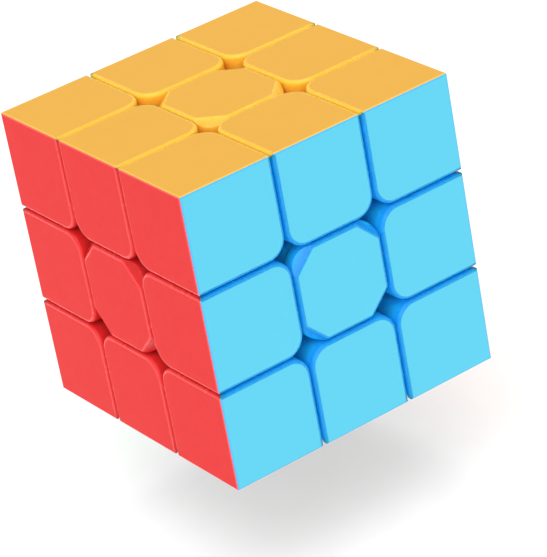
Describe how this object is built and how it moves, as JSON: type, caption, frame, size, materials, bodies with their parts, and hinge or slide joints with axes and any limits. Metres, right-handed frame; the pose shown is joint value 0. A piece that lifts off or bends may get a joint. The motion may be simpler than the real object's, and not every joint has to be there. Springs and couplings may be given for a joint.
{
  "type": "twisty puzzle cube",
  "caption": "Stickerless twisty puzzle cube of coloured plastic cubies that turns in layers about a hidden screwed core.",
  "frame": {"origin": "centre of the cube, at the centre of the core", "axes": "+Z out of the up (yellow) face, -Y out of the front (blue) face, -X out of the left (red) face"},
  "size_m": [0.056, 0.056, 0.056],
  "materials": {
    "yellow_plastic": "satin moulded plastic, coloured right through, no stickers",
    "red_plastic": "satin moulded plastic, coloured right through, no stickers",
    "blue_plastic": "satin moulded plastic, coloured right through, no stickers",
    "white_plastic": "satin moulded plastic, coloured right through, no stickers",
    "green_plastic": "satin moulded plastic, coloured right through, no stickers",
    "orange_plastic": "satin moulded plastic, coloured right through, no stickers",
    "core_plastic": "moulded, satin",
    "steel": "zinc plated, turned",
    "spring_steel": "drawn wire, oiled"
  },
  "bodies": {
    "core": {"core_spider": "core_plastic", "tension_screws": "steel", "screw_washers": "steel", "tension_springs": "spring_steel"},
    "centre_up": {"centre_up": "yellow_plastic"},
    "centre_down": {"centre_down": "white_plastic"},
    "centre_front": {"centre_front": "blue_plastic"},
    "centre_back": {"centre_back": "green_plastic"},
    "centre_left": {"centre_left": "red_plastic"},
    "centre_right": {"centre_right": "orange_plastic"},
    "edge_up_front": {"edge_up_front_yellow": "yellow_plastic", "edge_up_front_blue": "blue_plastic"},
    "edge_up_back": {"edge_up_back_yellow": "yellow_plastic", "edge_up_back_green": "green_plastic"},
    "edge_down_front": {"edge_down_front_white": "white_plastic", "edge_down_front_blue": "blue_plastic"},
    "edge_down_back": {"edge_down_back_white": "white_plastic", "edge_down_back_green": "green_plastic"},
    "edge_up_left": {"edge_up_left_yellow": "yellow_plastic", "edge_up_left_red": "red_plastic"},
    "edge_up_right": {"edge_up_right_yellow": "yellow_plastic", "edge_up_right_orange": "orange_plastic"},
    "edge_down_left": {"edge_down_left_white": "white_plastic", "edge_down_left_red": "red_plastic"},
    "edge_down_right": {"edge_down_right_white": "white_plastic", "edge_down_right_orange": "orange_plastic"},
    "edge_front_left": {"edge_front_left_blue": "blue_plastic", "edge_front_left_red": "red_plastic"},
    "edge_front_right": {"edge_front_right_blue": "blue_plastic", "edge_front_right_orange": "orange_plastic"},
    "edge_back_left": {"edge_back_left_green": "green_plastic", "edge_back_left_red": "red_plastic"},
    "edge_back_right": {"edge_back_right_green": "green_plastic", "edge_back_right_orange": "orange_plastic"},
    "corner_up_front_left": {"corner_up_front_left_yellow": "yellow_plastic", "corner_up_front_left_blue": "blue_plastic", "corner_up_front_left_red": "red_plastic"},
    "corner_up_front_right": {"corner_up_front_right_yellow": "yellow_plastic", "corner_up_front_right_blue": "blue_plastic", "corner_up_front_right_orange": "orange_plastic"},
    "corner_up_back_left": {"corner_up_back_left_yellow": "yellow_plastic", "corner_up_back_left_green": "green_plastic", "corner_up_back_left_red": "red_plastic"},
    "corner_up_back_right": {"corner_up_back_right_yellow": "yellow_plastic", "corner_up_back_right_green": "green_plastic", "corner_up_back_right_orange": "orange_plastic"},
    "corner_down_front_left": {"corner_down_front_left_white": "white_plastic", "corner_down_front_left_blue": "blue_plastic", "corner_down_front_left_red": "red_plastic"},
    "corner_down_front_right": {"corner_down_front_right_white": "white_plastic", "corner_down_front_right_blue": "blue_plastic", "corner_down_front_right_orange": "orange_plastic"},
    "corner_down_back_left": {"corner_down_back_left_white": "white_plastic", "corner_down_back_left_green": "green_plastic", "corner_down_back_left_red": "red_plastic"},
    "corner_down_back_right": {"corner_down_back_right_white": "white_plastic", "corner_down_back_right_green": "green_plastic", "corner_down_back_right_orange": "orange_plastic"}
  },
  "joints": [
    {"name": "turn_up", "type": "hinge", "parent": "core", "child": "centre_up", "pos_m": [0, 0, 0], "axis": [0, 0, 1], "continuous": true},
    {"name": "turn_down", "type": "hinge", "parent": "core", "child": "centre_down", "pos_m": [0, 0, 0], "axis": [0, 0, -1], "continuous": true},
    {"name": "turn_front", "type": "hinge", "parent": "core", "child": "centre_front", "pos_m": [0, 0, 0], "axis": [0, -1, 0], "continuous": true},
    {"name": "turn_back", "type": "hinge", "parent": "core", "child": "centre_back", "pos_m": [0, 0, 0], "axis": [0, 1, 0], "continuous": true},
    {"name": "turn_left", "type": "hinge", "parent": "core", "child": "centre_left", "pos_m": [0, 0, 0], "axis": [-1, 0, 0], "continuous": true},
    {"name": "turn_right", "type": "hinge", "parent": "core", "child": "centre_right", "pos_m": [0, 0, 0], "axis": [1, 0, 0], "continuous": true},
    {"name": "edge_up_front_turns_with_front", "type": "hinge", "parent": "centre_up", "child": "edge_up_front", "pos_m": [0, 0, 0], "axis": [0, -1, 0], "continuous": true},
    {"name": "edge_up_back_turns_with_back", "type": "hinge", "parent": "centre_up", "child": "edge_up_back", "pos_m": [0, 0, 0], "axis": [0, 1, 0], "continuous": true},
    {"name": "edge_down_front_turns_with_front", "type": "hinge", "parent": "centre_down", "child": "edge_down_front", "pos_m": [0, 0, 0], "axis": [0, -1, 0], "continuous": true},
    {"name": "edge_down_back_turns_with_back", "type": "hinge", "parent": "centre_down", "child": "edge_down_back", "pos_m": [0, 0, 0], "axis": [0, 1, 0], "continuous": true},
    {"name": "edge_up_left_turns_with_up", "type": "hinge", "parent": "centre_left", "child": "edge_up_left", "pos_m": [0, 0, 0], "axis": [0, 0, 1], "continuous": true},
    {"name": "edge_up_right_turns_with_up", "type": "hinge", "parent": "centre_right", "child": "edge_up_right", "pos_m": [0, 0, 0], "axis": [0, 0, 1], "continuous": true},
    {"name": "edge_down_left_turns_with_down", "type": "hinge", "parent": "centre_left", "child": "edge_down_left", "pos_m": [0, 0, 0], "axis": [0, 0, -1], "continuous": true},
    {"name": "edge_down_right_turns_with_down", "type": "hinge", "parent": "centre_right", "child": "edge_down_right", "pos_m": [0, 0, 0], "axis": [0, 0, -1], "continuous": true},
    {"name": "edge_front_left_turns_with_left", "type": "hinge", "parent": "centre_front", "child": "edge_front_left", "pos_m": [0, 0, 0], "axis": [-1, 0, 0], "continuous": true},
    {"name": "edge_front_right_turns_with_right", "type": "hinge", "parent": "centre_front", "child": "edge_front_right", "pos_m": [0, 0, 0], "axis": [1, 0, 0], "continuous": true},
    {"name": "edge_back_left_turns_with_left", "type": "hinge", "parent": "centre_back", "child": "edge_back_left", "pos_m": [0, 0, 0], "axis": [-1, 0, 0], "continuous": true},
    {"name": "edge_back_right_turns_with_right", "type": "hinge", "parent": "centre_back", "child": "edge_back_right", "pos_m": [0, 0, 0], "axis": [1, 0, 0], "continuous": true},
    {"name": "corner_up_front_left_turns_with_left", "type": "hinge", "parent": "edge_up_front", "child": "corner_up_front_left", "pos_m": [0, 0, 0], "axis": [-1, 0, 0], "continuous": true},
    {"name": "corner_up_front_right_turns_with_right", "type": "hinge", "parent": "edge_up_front", "child": "corner_up_front_right", "pos_m": [0, 0, 0], "axis": [1, 0, 0], "continuous": true},
    {"name": "corner_up_back_left_turns_with_left", "type": "hinge", "parent": "edge_up_back", "child": "corner_up_back_left", "pos_m": [0, 0, 0], "axis": [-1, 0, 0], "continuous": true},
    {"name": "corner_up_back_right_turns_with_right", "type": "hinge", "parent": "edge_up_back", "child": "corner_up_back_right", "pos_m": [0, 0, 0], "axis": [1, 0, 0], "continuous": true},
    {"name": "corner_down_front_left_turns_with_left", "type": "hinge", "parent": "edge_down_front", "child": "corner_down_front_left", "pos_m": [0, 0, 0], "axis": [-1, 0, 0], "continuous": true},
    {"name": "corner_down_front_right_turns_with_right", "type": "hinge", "parent": "edge_down_front", "child": "corner_down_front_right", "pos_m": [0, 0, 0], "axis": [1, 0, 0], "continuous": true},
    {"name": "corner_down_back_left_turns_with_left", "type": "hinge", "parent": "edge_down_back", "child": "corner_down_back_left", "pos_m": [0, 0, 0], "axis": [-1, 0, 0], "continuous": true},
    {"name": "corner_down_back_right_turns_with_right", "type": "hinge", "parent": "edge_down_back", "child": "corner_down_back_right", "pos_m": [0, 0, 0], "axis": [1, 0, 0], "continuous": true}
  ],
  "couplings": [
    {"joint": "edge_up_front_turns_with_front", "follows": "turn_front", "ratio": 1},
    {"joint": "edge_up_back_turns_with_back", "follows": "turn_back", "ratio": 1},
    {"joint": "edge_down_front_turns_with_front", "follows": "turn_front", "ratio": 1},
    {"joint": "edge_down_back_turns_with_back", "follows": "turn_back", "ratio": 1},
    {"joint": "edge_up_left_turns_with_up", "follows": "turn_up", "ratio": 1},
    {"joint": "edge_up_right_turns_with_up", "follows": "turn_up", "ratio": 1},
    {"joint": "edge_down_left_turns_with_down", "follows": "turn_down", "ratio": 1},
    {"joint": "edge_down_right_turns_with_down", "follows": "turn_down", "ratio": 1},
    {"joint": "edge_front_left_turns_with_left", "follows": "turn_left", "ratio": 1},
    {"joint": "edge_front_right_turns_with_right", "follows": "turn_right", "ratio": 1},
    {"joint": "edge_back_left_turns_with_left", "follows": "turn_left", "ratio": 1},
    {"joint": "edge_back_right_turns_with_right", "follows": "turn_right", "ratio": 1},
    {"joint": "corner_up_front_left_turns_with_left", "follows": "turn_left", "ratio": 1},
    {"joint": "corner_up_front_right_turns_with_right", "follows": "turn_right", "ratio": 1},
    {"joint": "corner_up_back_left_turns_with_left", "follows": "turn_left", "ratio": 1},
    {"joint": "corner_up_back_right_turns_with_right", "follows": "turn_right", "ratio": 1},
    {"joint": "corner_down_front_left_turns_with_left", "follows": "turn_left", "ratio": 1},
    {"joint": "corner_down_front_right_turns_with_right", "follows": "turn_right", "ratio": 1},
    {"joint": "corner_down_back_left_turns_with_left", "follows": "turn_left", "ratio": 1},
    {"joint": "corner_down_back_right_turns_with_right", "follows": "turn_right", "ratio": 1}
  ]
}
